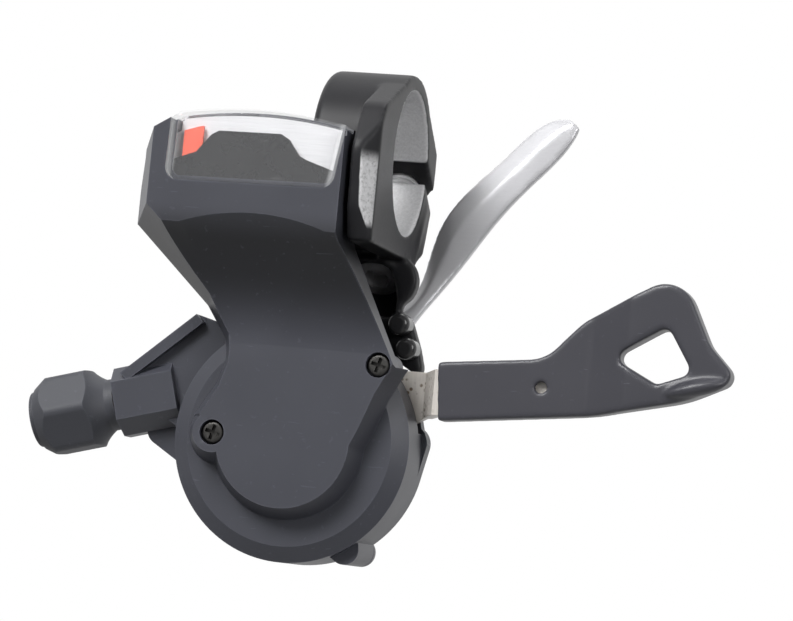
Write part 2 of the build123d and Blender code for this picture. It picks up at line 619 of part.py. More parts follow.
def cable_drum():
    """Cable drum: a groove for the cable round its rim and a spiral in its face for the needle."""
    body = rod(DRUM_RADIUS, DRUM_BACK, DRUM_STEP) + rod(DRUM_FACE_RADIUS, DRUM_STEP, DRUM_FRONT)
    groove = Plane.YZ * Pos(-CABLE_DEPTH, DRUM_RADIUS + 0.2) * Circle(CABLE_RADIUS)
    body -= Pos(PIVOT_X, 0, PIVOT_Z) * revolve(groove, Axis.Y)
    body -= slab(spiral_groove(), DRUM_FRONT - SPIRAL_DEPTH, DRUM_FRONT + 1)
    body -= rod(AXLE_HOLE, 0, 40)
    head_back = DRUM_FRONT - SIDE_CLEARANCE - AXLE_HEAD_HEIGHT
    return body - rod(AXLE_HEAD_RADIUS + RUN_CLEARANCE, head_back - RUN_CLEARANCE, 40)


def ratchet_wheel():
    """Steel wheel on the back of the drum; the teeth lean the way the drum turns."""
    points = []
    pitch = 360 / RATCHET_TEETH
    for tooth in range(RATCHET_TEETH):
        points.append(on_pivot(RATCHET_TIP, tooth * pitch))
        points.append(on_pivot(RATCHET_TIP, (tooth + 0.18) * pitch))
        points.append(on_pivot(RATCHET_ROOT, (tooth + 0.26) * pitch))
        points.append(on_pivot(RATCHET_ROOT, (tooth + 0.56) * pitch))
    wheel = outline(*points) - disc(AXLE_HOLE)
    return slab(wheel, DRUM_BACK - RATCHET_THICKNESS, DRUM_BACK)


def pawl(pin_angle):
    """Pawl in front of the ratchet's tooth gap: an eye, a curved bar and a short nose."""
    pitch = 360 / RATCHET_TEETH
    gap = (round((pin_angle + PAWL_SPAN) / pitch) + 0.46) * pitch
    bar_inside = PAWL_PIN_REACH - PAWL_BAR + 0.3
    bar_outside = bar_inside + PAWL_BAR
    wedge = outline((PIVOT_X, PIVOT_Z), on_pivot(30, pin_angle), on_pivot(30, (pin_angle + gap) / 2),
                    on_pivot(30, gap + 2.2))
    bar = (disc(bar_outside) - disc(bar_inside)) & wedge
    nose = outline(on_pivot(bar_inside + 0.4, gap - 2.0), on_pivot(bar_inside - PAWL_NOSE, gap - 1.2),
                   on_pivot(bar_inside - PAWL_NOSE, gap + 1.2), on_pivot(bar_inside + 0.4, gap + 2.0))
    eye = disc(PAWL_PIN_RADIUS + 0.9, on_pivot(PAWL_PIN_REACH, pin_angle))
    hole = disc(PIN_HOLE, on_pivot(PAWL_PIN_REACH, pin_angle))
    return slab(bar + nose + eye - hole, PAWL_DEPTH, PAWL_DEPTH + PAWL_THICKNESS)


def drive_pawl_pin():
    """Pin in the lever plate that carries the drive pawl."""
    return rod(PAWL_PIN_RADIUS, PLATE_BACK, PAWL_DEPTH + PAWL_THICKNESS, DRIVE_PIN)


def holding_pawl_pin():
    """Pin in the back cover that carries the holding pawl."""
    return rod(PAWL_PIN_RADIUS, COVER_BACK, PAWL_DEPTH + PAWL_THICKNESS, HOLDING_PIN)


def spiral_spring(inner, outer, turns, start, back, height, width):
    """Flat spiral spring round the axle."""
    points = []
    steps = 8 * turns
    for step in range(steps + 1):
        reach = inner + (outer - inner) * step / steps
        points.append(on_pivot(reach, start + 360 * turns * step / steps))
    return slab(trace(Spline(*points), width), back, back + height)


def main_return_spring():
    """Spiral spring that brings the push lever back."""
    return spiral_spring(3.6, 9.0, 3, 0, CASE_BACK + 0.4, PLATE_BACK - CASE_BACK - 0.8, 0.7)


def release_return_spring():
    """Spiral spring that centres the release lever."""
    back = RELEASE_BACK - 1.6
    return spiral_spring(5.6, 8.2, 2, 200, back, 1.3, 0.6)


def lever_plate():
    """Push lever's steel plate: hub and pawl ear in the case, bent forward outside it."""
    shoulder = (13.6, -35.7)
    tip = (36.0, -34.0)
    half = PLATE_WIDTH / 2
    arm = outline((PIVOT_X, PIVOT_Z - 5), (PIVOT_X - 2, PIVOT_Z + 5), (9.6, shoulder[1] + half),
                  (GRIP_START + 3, shoulder[1] + half), (tip[0], tip[1] + 2.6), (tip[0], tip[1] - 2.6),
                  (GRIP_START + 3, shoulder[1] - half), (shoulder[0], shoulder[1] - half))
    face = arm + disc(5.6) + hull((DRIVE_PIN, 1.9), ((PIVOT_X, PIVOT_Z), 4.4))
    top = PLATE_BACK + PLATE_THICKNESS
    bend = PIVOT_X + CASE_RADIUS
    profile = outline((-30, PLATE_BACK), (bend + 1.2, PLATE_BACK), (bend + 4.8, PLATE_BACK + PLATE_RISE),
                      (50, PLATE_BACK + PLATE_RISE), (50, top + PLATE_RISE), (bend + 3.6, top + PLATE_RISE),
                      (bend, top), (-30, top))
    body = slab(face, 0, 30) & upward(profile, -70, 0)
    body -= rod(AXLE_HOLE, 0, 30)
    return body - rod(PAWL_PIN_RADIUS, 0, 30, DRIVE_PIN)


def lever_grip():
    """Black moulding on the lever plate, with the open thumb paddle."""
    lean = (33.2, -29.5)
    edge = [(GRIP_START, -31.2), lean, (38.6, -23.5), (52.8, -15.4), (57.9, -25.8), (62.6, -30.6),
            (55.0, -34.3), (42.0, -37.3), (GRIP_START + 0.8, -40.0)]
    face = outline(*edge)
    corners = face.vertices()
    radii = {1: 6, 2: 9, 3: 4.6, 4: 5, 5: 1.8, 6: 20, 7: 30}
    for index, radius in radii.items():
        near = corners.sort_by_distance((edge[index][0], edge[index][1], 0))[0]
        match = face.vertices().sort_by_distance(near.center())[0]
        face = fillet(match, radius)
    hole = outline((43.5, -28.6), (51.5, -23.5), (55.7, -30.1), (50.5, -32.1))
    face -= fillet(hole.vertices(), 1.2)
    profile = outline((0, GRIP_BACK), (39, GRIP_BACK), (45, PADDLE_BACK), (70, PADDLE_BACK),
                      (70, PADDLE_FRONT), (46, PADDLE_FRONT - 0.6), (40, GRIP_FRONT), (0, GRIP_FRONT))
    body = slab(face, 0, 30) & upward(profile, -70, 20)
    body -= lever_plate()
    return body - rod(GRIP_HOLE_RADIUS, PLATE_BACK + PLATE_RISE + PLATE_THICKNESS, 40, (33.0, -33.8))


def release_section(low, high, front, thickness):
    """Cross-section of the release lever's blade, with a ridge between its two front faces."""
    width = hypot(high[0] - low[0], high[1] - low[1])
    along = ((high[0] - low[0]) / width, 0, (high[1] - low[1]) / width)
    place = Plane(origin=(low[0], -front, low[1]), x_dir=along, z_dir=(along[2], 0, -along[0]))
    edge = RELEASE_EDGE * thickness
    return place * outline((0, 0), (RELEASE_RIDGE * width, 0), (width, -RELEASE_BEVEL * thickness),
                           (width - edge, -thickness), (edge, -thickness))


def release_lever():
    """Aluminium release lever: flat hub behind the bracket and a ridged blade that curves up to its tip."""
    hub = slab(hull(((PIVOT_X, PIVOT_Z), 6.6), ((-1.6, -33.6), 4.4)), RELEASE_BACK, RELEASE_FRONT)
    blade = RELEASE_FRONT - RELEASE_BACK_STEP
    ways = [
        ((1.6, -34.0), (-5.0, -32.2), RELEASE_FRONT - 0.2, RELEASE_THICKNESS - 0.4),
        ((6.6, -24.6), (1.4, -22.6), RELEASE_FRONT - 4.1, RELEASE_BLADE),
        ((9.9, -18.4), (6.5, -16.2), RELEASE_FRONT - 7.7, RELEASE_BLADE),
        ((14.2, -11.6), (8.5, -7.2), blade, RELEASE_BLADE),
        ((19.3, -4.1), (13.9, 0.2), blade - 0.2, RELEASE_BLADE),
        ((24.5, 1.9), (19.5, 6.3), blade - 0.5, RELEASE_BLADE),
        ((28.1, 6.6), (24.0, 10.2), blade - 0.8, RELEASE_BLADE - 0.4),
        ((29.3, 9.3), (27.4, 10.9), blade - 1.1, RELEASE_BLADE - 1.2),
    ]
    body = hub + loft([release_section(*way) for way in ways])
    return body - rod(AXLE_HOLE + BUSH_WALL, -40, 0)


def release_bush():
    """Plain bearing between the release lever and the axle."""
    ring = disc(AXLE_HOLE + BUSH_WALL) - disc(AXLE_HOLE)
    return slab(ring, RELEASE_BACK, RELEASE_FRONT)


def adjuster_sleeve():
    """Threaded sleeve in the boss that the adjuster screws into."""
    inner = SHANK_RADIUS + RUN_CLEARANCE
    return on_adjuster(Circle(inner + SLEEVE_WALL) - Circle(inner), 0, SHANK_LENGTH + 2)


def adjuster_barrel():
    """Cable adjuster: six-lobed head with tapered ends, neck and shank, bored for the cable."""
    end = -BARREL_NECK_LENGTH - BARREL_LENGTH - 0.3
    head_front = -BARREL_NECK_LENGTH - 0.3
    lobes = fillet(RegularPolygon(BARREL_FLATS / 2, 6, major_radius=False).vertices(), 1.6)
    head = on_adjuster(lobes, end + 0.8, head_front)
    corner = BARREL_FLATS / 2 / cos(radians(30))
    start = (corner, head_front - BARREL_SLOPE)
    hollow = (BARREL_NECK_RADIUS + 0.9, head_front - 0.45 * BARREL_SLOPE)
    neck = (BARREL_NECK_RADIUS, head_front)
    walls = Polyline(neck, (0, head_front), (0, end + 0.8), (BARREL_RIM_RADIUS + 0.6, end + 0.8),
                     (corner, end + 3.4), start)
    turned = revolve(Plane.XZ * make_face(ThreePointArc(start, hollow, neck) + walls), Axis.Z)
    body = head & (adjuster_plane() * turned)
    body += on_adjuster(Circle(BARREL_RIM_RADIUS), end, end + 1)
    body += on_adjuster(Circle(BARREL_NECK_RADIUS), head_front - 0.5, -0.3)
    body += on_adjuster(Circle(SHANK_RADIUS), -0.4, SHANK_LENGTH)
    body -= on_adjuster(Circle(HOUSING_SOCKET_RADIUS), end - 1, end + HOUSING_SOCKET_DEPTH)
    return body - on_adjuster(Circle(CABLE_HOLE_RADIUS), end - 1, SHANK_LENGTH + 1)


NODES = {
    "clamp_bracket": clamp_bracket,
    "clamp_bolt": clamp_bolt,
    "travel_stops": travel_stops,
    "display_cover": display_cover,
    "display_lens": display_lens,
    "dial_plate": dial_plate,
    "dial_mask": dial_mask,
    "indicator_base": indicator_base,
    "gear_needle": gear_needle,
    "needle_pin": needle_pin,
    "main_case": main_case,
    "back_cover": back_cover,
    "cover_screws": cover_screws,
    "back_screws": back_screws,
    "pivot_axle": pivot_axle,
    "axle_washer": axle_washer,
    "axle_nut": axle_nut,
    "cable_drum": cable_drum,
    "ratchet_wheel": ratchet_wheel,
    "drive_pawl": lambda: pawl(DRIVE_PAWL_ANGLE),
    "drive_pawl_pin": drive_pawl_pin,
    "holding_pawl": lambda: pawl(HOLDING_PAWL_ANGLE),
    "holding_pawl_pin": holding_pawl_pin,
    "main_return_spring": main_return_spring,
    "release_return_spring": release_return_spring,
    "lever_plate": lever_plate,
    "lever_grip": lever_grip,
    "release_lever": release_lever,
    "release_bush": release_bush,
    "adjuster_sleeve": adjuster_sleeve,
    "adjuster_barrel": adjuster_barrel,
}

os.makedirs("parts", exist_ok=True)
for name, make in NODES.items():
    export_step(make(), f"parts/{name}.step")
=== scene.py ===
import json
import math

import bpy
from mathutils import Matrix, Vector


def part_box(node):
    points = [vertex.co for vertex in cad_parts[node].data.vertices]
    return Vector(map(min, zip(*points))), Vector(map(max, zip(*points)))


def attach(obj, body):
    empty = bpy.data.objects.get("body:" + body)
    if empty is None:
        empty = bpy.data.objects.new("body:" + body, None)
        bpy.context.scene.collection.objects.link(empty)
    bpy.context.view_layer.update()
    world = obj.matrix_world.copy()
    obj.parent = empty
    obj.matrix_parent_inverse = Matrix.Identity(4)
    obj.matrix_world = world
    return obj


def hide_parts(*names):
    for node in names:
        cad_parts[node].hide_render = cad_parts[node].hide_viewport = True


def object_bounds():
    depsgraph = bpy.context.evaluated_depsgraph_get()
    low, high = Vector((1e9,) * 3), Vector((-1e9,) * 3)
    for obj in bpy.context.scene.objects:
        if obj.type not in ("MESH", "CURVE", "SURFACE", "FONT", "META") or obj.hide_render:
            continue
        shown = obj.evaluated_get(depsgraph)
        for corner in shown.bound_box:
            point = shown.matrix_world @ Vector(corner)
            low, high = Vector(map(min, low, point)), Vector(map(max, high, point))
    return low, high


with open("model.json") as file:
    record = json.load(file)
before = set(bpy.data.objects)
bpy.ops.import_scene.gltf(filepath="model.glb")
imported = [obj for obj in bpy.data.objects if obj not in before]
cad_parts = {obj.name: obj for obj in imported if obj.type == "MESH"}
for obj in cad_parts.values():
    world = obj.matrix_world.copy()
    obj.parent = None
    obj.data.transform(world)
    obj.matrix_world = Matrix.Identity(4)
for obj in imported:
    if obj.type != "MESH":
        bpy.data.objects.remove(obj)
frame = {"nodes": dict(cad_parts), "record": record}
CAD_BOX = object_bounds()

bl_info = {
    "name": "Trigger gear shifter",
    "version": (1, 0, 0),
    "blender": (4, 5, 0),
    "location": "View3D > Sidebar > Shifter",
    "description": "Dresses the packed trigger gear shifter: soft edges, small fittings, finishes, stage",
    "category": "Object",
}

MM = 0.001

# The photograph's camera
PHOTO_WIDTH = 793
CAMERA_PLACE = (0.1344, -0.5332, -0.0660)
CAMERA_RIGHT = (0.9696, 0.2249, 0.0963)
CAMERA_UP = (-0.0757, -0.0985, 0.9923)
CAMERA_BACK = (0.2327, -0.9694, -0.0785)
CAMERA_FOCAL_PIXELS = 3575.55
SENSOR_WIDTH = 36.0

# Screws, the bolt's thread and the lip of the thumb paddle
SCREW_HEAD_RADIUS = 1.7 * MM
SCREW_HEAD_HEIGHT = 1.4 * MM
SCREW_SHANK_RADIUS = 0.9 * MM
SCREW_RIM = 0.42 * MM
SCREW_TURN = 0.3
SCREW_SMOOTH = math.radians(30)
CROSS_LENGTH = 1.35
CROSS_WIDTH = 0.32
CROSS_DEPTH = 0.75 * MM
SHORT_SCREW = 5.0 * MM
BOLT_RADIUS = 2.5 * MM
BOLT_TILT = math.radians(57)
BOLT_GAP_MIDDLE = (1.5 * MM, 15.23 * MM, -2.62 * MM)
THREAD_TURNS = 3
THREAD_STEPS = 32
THREAD_PROFILE = 0.52
THREAD_SINK = 0.08 * MM
LIP_MIDDLE = (56.4 * MM, -17.8 * MM, -32.3 * MM)
LIP_HALF = (4.7 * MM, 1.7 * MM, 1.2 * MM)
LIP_RISE = math.radians(15)

# Which edges are rounded: X, Y and Z in mm, sharpness in degrees
COVER_SCREWS = ((8.3, -32.5), (-16.3, -44.6))
COVER_SCREW_CLEARANCE = 2.6
COVER_EDGE_BACK = -16.0
WINDOW_LEFT = -26.6
WINDOW_BOTTOM = -9.0
BOSS_LEFT = -33.0
BOSS_RIGHT = -22.5
BOSS_BACK = -1.6
BOSS_BOTTOM = -44.0
BAND_BACK = 6.0
BAND_BOTTOM = -15.5
BAND_RADIUS = 11.9
GRIP_HOLE = (33.0, -33.8)
GRIP_HOLE_CLEARANCE = 1.4
GRIP_END = 18.2
THUMB_BACK = -14.9
SHARP = 28
GRIP_SHARP = 35

# Merging and smoothing of meshes
SMOOTH = math.radians(40)
FLAT_MERGE = math.radians(0.6)
SOFT_MERGE = math.radians(0.1)
POINT_MERGE = 0.002 * MM
THREAD_MERGE = 0.001 * MM
FLAT_WEIGHT = 100
CALM_SHARE = 0.5
CALM_STEPS = 14
MOULDED_FACE = 0.28 * MM
CAST_FACE = 0.34 * MM

# Where a finish or a painted shade changes on a piece
# Low and high Z of the painted shade in the cover's hollow below the display
THROAT_SHADE = (-26.0 * MM, -13.5 * MM)
WORN_STRIP = (-12.2 * MM, -2.0 * MM)
BARE_RADIUS = 11.35 * MM
CHAMFER_FACING = (0.7071, -0.7071, 0.0)
SPECKS_END = 15.6 * MM
LENS_LIP = 3.2 * MM
LENS_LEFT_RIM = 1.0 * MM
LENS_RIGHT = 0.75 * MM
LENS_SLANT = 0.148

# Stage; a lamp has a name, a place, a size in metres, watts and a spread in degrees
ROOM_LIGHT = 0.15
MIRRORED_ROOM = {"From Min": -0.65, "From Max": 0.45, "To Max": 1.0}
MIRRORED_FRONT = {"From Min": -0.45, "From Max": 0.05, "To Min": 0.02, "To Max": 0.42}
FLOOR_SIZE = 3.0
FLOOR_DROP = 0.40
FLOOR_GLOW = (0.86, 0.86, 0.86, 1)
FLOOR_MIRRORED = 0.4
LAMP_TARGET = (0.006, 0, -0.025)
LAMPS = (
    ("key_lamp", (-0.34, -0.68, 0.64), 0.50, 1.04, 42),
    ("fill_lamp", (0.62, -0.60, 0.22), 0.45, 0.24, 42),
    ("top_lamp", (0.05, 0.15, 0.70), 0.45, 0.12, 45),
)


# Shader maths


class Wave:
    """A shader value or colour; arithmetic on it adds Math nodes to its tree."""

    def __init__(self, paint, socket):
        self.paint = paint
        self.socket = socket

    def _math(self, operation, *values, clamp=False):
        return self.paint.add("ShaderNodeMath", {"operation": operation, "use_clamp": clamp}, values)

    def __add__(self, other):
        return self._math("ADD", self, other)

    __radd__ = __add__

    def __sub__(self, other):
        return self._math("SUBTRACT", self, other)

    def __rsub__(self, other):
        return self._math("SUBTRACT", other, self)

    def __mul__(self, other):
        return self._math("MULTIPLY", self, other)

    __rmul__ = __mul__

    def __pow__(self, other):
        return self._math("POWER", self, other)

    def above(self, edge, soft):
        """0 below the edge, 1 above it, with a soft step between."""
        settings = {"interpolation_type": "SMOOTHSTEP"}
        return self.paint.add("ShaderNodeMapRange", settings, {"Value": self, "From Min": edge - soft,
                                                               "From Max": edge + soft})

    def below(self, edge, soft):
        """1 below the edge, 0 above it."""
        return 1 - self.above(edge, soft)

    def clamped(self):
        """The value kept between 0 and 1."""
        return self._math("ADD", self, 0.0, clamp=True)


class Paint:
    """One material under construction."""

    def __init__(self, name):
        self.material = bpy.data.materials.new(name)
        self.material.use_nodes = True
        self.tree = self.material.node_tree
        self.tree.nodes.clear()
        self.output = self.tree.nodes.new("ShaderNodeOutputMaterial")

    def add(self, kind, settings=None, inputs=(), output=0):
        """Add a node: its settings first, then the values or links of its sockets."""
        node = self.tree.nodes.new(kind)
        for key, value in (settings or {}).items():
            setattr(node, key, value)
        pairs = inputs.items() if isinstance(inputs, dict) else enumerate(inputs)
        for key, value in pairs:
            if isinstance(value, Wave):
                self.tree.links.new(value.socket, node.inputs[key])
            else:
                node.inputs[key].default_value = value
        return Wave(self, node.outputs[output])

    def place(self, turn=(0, 0, 0), stretch=(1, 1, 1)):
        """Object coordinates, turned and stretched."""
        spot = self.add("ShaderNodeTexCoord", output="Object")
        return self.add("ShaderNodeMapping", {"vector_type": "POINT"}, {"Vector": spot, "Rotation": turn,
                                                                        "Scale": stretch})

    def axis(self, letter, spot=None):
        """One coordinate in metres, or of a given vector."""
        spot = spot or self.add("ShaderNodeTexCoord", output="Object")
        return self.add("ShaderNodeSeparateXYZ", None, {"Vector": spot}, output="XYZ".index(letter))

    def noise(self, size, detail=3.0, spot=None):
        """Cloudy variation from 0 to 1 with features of a size in metres."""
        spot = spot or self.place()
        return self.add("ShaderNodeTexNoise", None, {"Vector": spot, "Scale": 1 / size, "Detail": detail,
                                                     "Roughness": 0.55})

    def cells(self, size):
        """Distance to the nearest of scattered points, about a size apart."""
        inputs = {"Vector": self.place(), "Scale": 1 / size}
        return self.add("ShaderNodeTexVoronoi", {"feature": "F1"}, inputs)

    def edge_mask(self, radius):
        """1 along sharp edges, 0 on flat faces."""
        soft = self.add("ShaderNodeBevel", {"samples": 6}, {"Radius": radius})
        hard = self.add("ShaderNodeNewGeometry", output="Normal")
        dot = self.add("ShaderNodeVectorMath", {"operation": "DOT_PRODUCT"}, (soft, hard), output="Value")
        return (1 - dot) * 6.0

    def mix(self, factor, first, second):
        """Mix two colours."""
        return self.add("ShaderNodeMix", {"data_type": "RGBA"}, {0: factor, 6: first, 7: second}, output=2)

    def bump(self, height, strength, distance):
        """A normal tilted by a height."""
        inputs = {"Strength": strength, "Distance": distance, "Height": height}
        return self.add("ShaderNodeBump", None, inputs)

    def surface(self, **sockets):
        """The finished surface; a plain number or colour is set on the shader's own socket."""
        names = {key.replace("_", " "): value for key, value in sockets.items()}
        shader = self.add("ShaderNodeBsdfPrincipled", None, names)
        self.tree.links.new(shader.socket, self.output.inputs["Surface"])
        return self.material


def darker(colour, share):
    """A colour scaled towards black or, above one, towards white."""
    return (colour[0] * share, colour[1] * share, colour[2] * share, 1.0)


# Sizes and colours a user may change


def colour_property(name, description, default):
    """A colour of three numbers."""
    return bpy.props.FloatVectorProperty(name=name, description=description, subtype="COLOR", size=3,
                                         min=0.0, max=1.0, default=default)


def size_property(name, description, default, low, high):
    """A length; its default and its limits are given in mm."""
    return bpy.props.FloatProperty(name=name, description=description, subtype="DISTANCE", unit="LENGTH",
                                   default=default * MM, min=low * MM, max=high * MM)


class ShifterColours(bpy.types.PropertyGroup):
    """Colours of the finishes."""

    moulding: colour_property("Moulding", "Black plastic of cover and case", (0.054, 0.056, 0.069))
    lever: colour_property("Lever moulding", "Black plastic of the thumb lever", (0.052, 0.052, 0.062))
    adjuster: colour_property("Adjuster", "Black plastic of the cable adjuster", (0.052, 0.054, 0.064))
    clamp: colour_property("Clamp paint", "Black paint of the clamp casting", (0.014, 0.014, 0.016))
    bare_metal: colour_property("Bare casting", "Bare aluminium of the clamp's bore", (0.68, 0.68, 0.69))
    bright: colour_property("Bright aluminium", "Release lever", (0.60, 0.60, 0.62))
    steel: colour_property("Steel plate", "Push lever's plate", (0.74, 0.70, 0.65))
    rust: colour_property("Rust", "Specks on the plate near the case", (0.20, 0.15, 0.10))
    dial: colour_property("Dial", "Silver dial behind the window", (0.78, 0.78, 0.80))
    mask: colour_property("Mask", "Black field in the window", (0.012, 0.012, 0.014))
    needle: colour_property("Needle", "Gear needle", (1.0, 0.15, 0.085))


class ShifterSizes(bpy.types.PropertyGroup):
    """Sizes of what is added to the solids."""

    soft_edge: size_property("Soft edge", "Radius of the mouldings' edges", 0.8, 0.05, 1.2)
    thumb_edge: size_property("Thumb edge", "Radius of the lever's edges under the thumb", 1.3, 0.1, 2.0)
    thread_pitch: size_property("Thread pitch", "Pitch of the clamp bolt's thread", 0.8, 0.3, 2.0)
    grain: size_property("Mould grain", "Size of the fine grain on the mouldings", 0.22, 0.05, 1.0)


def colours():
    return bpy.context.scene.shifter_colours


def sizes():
    return bpy.context.scene.shifter_sizes


# Finishes


def moulded_black(name, colour, roughness=0.42, scuffs=0.5, throat_shade=0.0):
    """Satin black plastic: fine mould grain, faint cloudiness, light rubbing on the edges, few scuffs.

    A share above 0 darkens the hollow below the display with painted shade.
    """
    p = Paint(name)
    grain = p.noise(sizes().grain, 2.0)
    cloud = p.noise(14 * MM, 4.0)
    dust = p.noise(0.9 * MM, 2.0).above(0.70, 0.05)
    line_spot = p.place(turn=(0.3, 0.9, 0.4), stretch=(0.10, 1, 1))
    lines = p.noise(0.55 * MM, 2.0, line_spot).above(0.735, 0.012)
    worn = p.edge_mask(0.5 * MM).clamped()
    rubbed = worn * p.noise(3 * MM, 3.0).above(0.42, 0.16)
    base = p.mix(cloud, darker(colour, 0.88), darker(colour, 1.14))
    # Painted shade: the hollow below the display is mixed towards near black by the given share.
    if throat_shade:
        hollow = p.axis("Z").below(THROAT_SHADE[1], 2.5 * MM) * p.axis("Z").above(THROAT_SHADE[0], 6.0 * MM)
        base = p.mix(throat_shade * hollow, base, darker(colour, 0.15))
    base = p.mix(rubbed * 0.45, base, darker(colour, 2.3))
    base = p.mix((lines * scuffs * 0.35 + dust * 0.12).clamped(), base, darker(colour, 3.0))
    gloss = roughness + 0.10 * (cloud - 0.5) + 0.05 * (grain - 0.5) + 0.12 * lines * scuffs - 0.07 * rubbed
    normal = p.bump(grain + 0.6 * lines, 0.14, 0.03 * MM)
    return p.surface(Base_Color=base, Roughness=gloss, Normal=normal, IOR=1.44)


def painted_casting():
    """Black paint on the clamp, with the bore bare and the front chamfer worn to metal."""
    p = Paint("clamp_paint_and_bare_bore")
    c = colours()
    spot = p.add("ShaderNodeTexCoord", output="Object")
    radius = (p.axis("Y", spot) ** 2 + p.axis("Z", spot) ** 2) ** 0.5
    bore = radius.below(BARE_RADIUS, 0.12 * MM)
    grit = p.noise(0.35 * MM, 3.0)
    cloud = p.noise(6 * MM, 4.0)
    worn = p.edge_mask(0.6 * MM).clamped() * p.noise(2.2 * MM, 4.0).above(0.47, 0.10)
    hard = p.add("ShaderNodeNewGeometry", output="Normal")
    dot = {"operation": "DOT_PRODUCT"}
    facing = p.add("ShaderNodeVectorMath", dot, (hard, CHAMFER_FACING), output="Value")
    scratches = p.noise(0.5 * MM, 4.0).above(0.42, 0.10)
    low, high = WORN_STRIP
    along = p.axis("Z", spot).above(low, 0.6 * MM) * p.axis("Z", spot).below(high, 1.2 * MM)
    strip = facing.above(0.93, 0.03) * along * (0.60 + 0.30 * scratches)
    scraped = (0.35 * worn + strip).clamped()
    bare = p.add("ShaderNodeMath", {"operation": "MAXIMUM"}, (bore, scraped))
    paint = p.mix(cloud, darker(c.clamp, 0.8), darker(c.clamp, 1.35))
    cast = p.mix(grit, darker(c.bare_metal, 0.72), darker(c.bare_metal, 1.2))
    base = p.mix(bare, paint, cast)
    gloss = 0.36 + 0.08 * cloud + 0.06 * bare + 0.06 * grit
    return p.surface(Base_Color=base, Roughness=gloss, Metallic=0.25 * bare,
                     Normal=p.bump(grit, 0.20, 0.05 * MM), IOR=1.30)


def turned_metal(name="zinc_plated_steel", colour=(0.42, 0.42, 0.43), roughness=0.34, metallic=1.0):
    """Turned or plated metal of bolts, screws, pins, springs and the sleeve, with faint tool marks."""
    p = Paint(name)
    cloud = p.noise(1.6 * MM, 4.0)
    marks = p.noise(0.25 * MM, 2.0)
    base = p.mix(cloud, darker(colour, 0.65), darker(colour, 1.2))
    return p.surface(Base_Color=base, Metallic=metallic, Roughness=roughness + 0.16 * cloud,
                     Normal=p.bump(marks, 0.12, 0.02 * MM))


def stamped_plate():
    """Stamped steel with rolling streaks, a few dents and brown specks close to the case."""
    p = Paint("stamped_steel_with_specks")
    c = colours()
    streak_spot = p.place(stretch=(1, 1, 0.08))
    streaks = p.noise(0.30 * MM, 3.0, streak_spot)
    cloud = p.noise(4 * MM, 4.0)
    near_case = p.axis("X").below(SPECKS_END, 2.2 * MM)
    specks = p.cells(0.9 * MM).below(0.30, 0.10) * p.noise(2.4 * MM, 3.0).above(0.47, 0.09)
    dirt = (specks * (0.25 + 0.75 * near_case)).clamped()
    base = p.mix(streaks, darker(c.steel, 0.80), darker(c.steel, 1.15))
    base = p.mix(dirt, base, darker(c.rust, 1.0))
    gloss = 0.36 + 0.12 * cloud + 0.35 * dirt
    return p.surface(Base_Color=base, Metallic=0.3 - 0.28 * dirt, Roughness=gloss,
                     Normal=p.bump(streaks - 0.8 * specks, 0.18, 0.04 * MM))


def bright_aluminium():
    """Polished and clear anodised aluminium with very fine lengthwise lines."""
    p = Paint("bright_anodised_aluminium")
    c = colours()
    line_spot = p.place(turn=(0, 0.96, 0), stretch=(0.05, 1, 1))
    lines = p.noise(0.20 * MM, 3.0, line_spot)
    cloud = p.noise(9 * MM, 3.0)
    worn = p.edge_mask(0.4 * MM).clamped()
    base = p.mix(lines, darker(c.bright, 0.95), darker(c.bright, 1.04))
    base = p.mix(0.4 * worn, base, (0.93, 0.93, 0.94, 1))
    gloss = 0.32 + 0.08 * lines + 0.10 * (cloud - 0.5)
    return p.surface(Base_Color=base, Metallic=0.35, Roughness=gloss, Normal=p.bump(lines, 0.05, 0.02 * MM))


def window_plastic():
    """Clear window: see-through pane with frosted moulded edges and a few hairlines."""
    p = Paint("clear_window_plastic")
    spot = p.add("ShaderNodeTexCoord", output="Object")
    low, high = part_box("display_lens")
    depth = p.axis("Y", spot)
    lip = depth.above(high[1] - LENS_LIP, 0.15 * MM)
    left = p.axis("X", spot).below(low[0] + LENS_LEFT_RIM, 0.35 * MM)
    slanted = p.axis("X", spot) - LENS_SLANT * p.axis("Z", spot)
    right = slanted.above(LENS_RIGHT, 0.3 * MM)
    rim = (lip + left + right).clamped()
    hair_spot = p.place(turn=(0, 0.5, 0), stretch=(0.06, 1, 1))
    hairs = p.noise(0.4 * MM, 2.0, hair_spot).above(0.72, 0.02)
    haze = p.noise(3 * MM, 3.0)
    veil = (0.04 + 0.01 * haze + 0.22 * rim + 0.06 * hairs).clamped()
    return p.surface(Base_Color=(0.88, 0.89, 0.90, 1), Roughness=0.10 + 0.35 * rim, Alpha=veil,
                     Coat_Weight=0.5, IOR=1.5)


def silver_dial():
    """Silver dial with fine lines across it."""
    p = Paint("silver_dial_with_fine_lines")
    c = colours()
    lines = p.noise(0.25 * MM, 2.0, p.place(stretch=(0.04, 1, 1)))
    cloud = p.noise(5 * MM, 2.0)
    base = p.mix(lines, darker(c.dial, 0.86), darker(c.dial, 1.14))
    return p.surface(Base_Color=base, Metallic=0.1, Roughness=0.42 + 0.1 * cloud,
                     Normal=p.bump(lines, 0.10, 0.02 * MM))


def flat_plastic(name, colour, roughness):
    """Even coloured plastic or print with a slight mottling."""
    p = Paint(name)
    mottle = p.noise(2.5 * MM, 3.0)
    fine = p.noise(0.15 * MM, 2.0)
    base = p.mix(mottle, darker(colour, 0.92), darker(colour, 1.06))
    return p.surface(Base_Color=base, Roughness=roughness + 0.1 * (mottle - 0.5),
                     Normal=p.bump(fine, 0.06, 0.02 * MM), IOR=1.5)


# Modelling helpers


def deselect():
    """Object mode with nothing selected."""
    if bpy.context.mode != "OBJECT":
        bpy.ops.object.mode_set(mode="OBJECT")
    bpy.ops.object.select_all(action="DESELECT")


def activate(piece):
    """Select one piece alone and make it active."""
    deselect()
    piece.select_set(True)
    bpy.context.view_layer.objects.active = piece


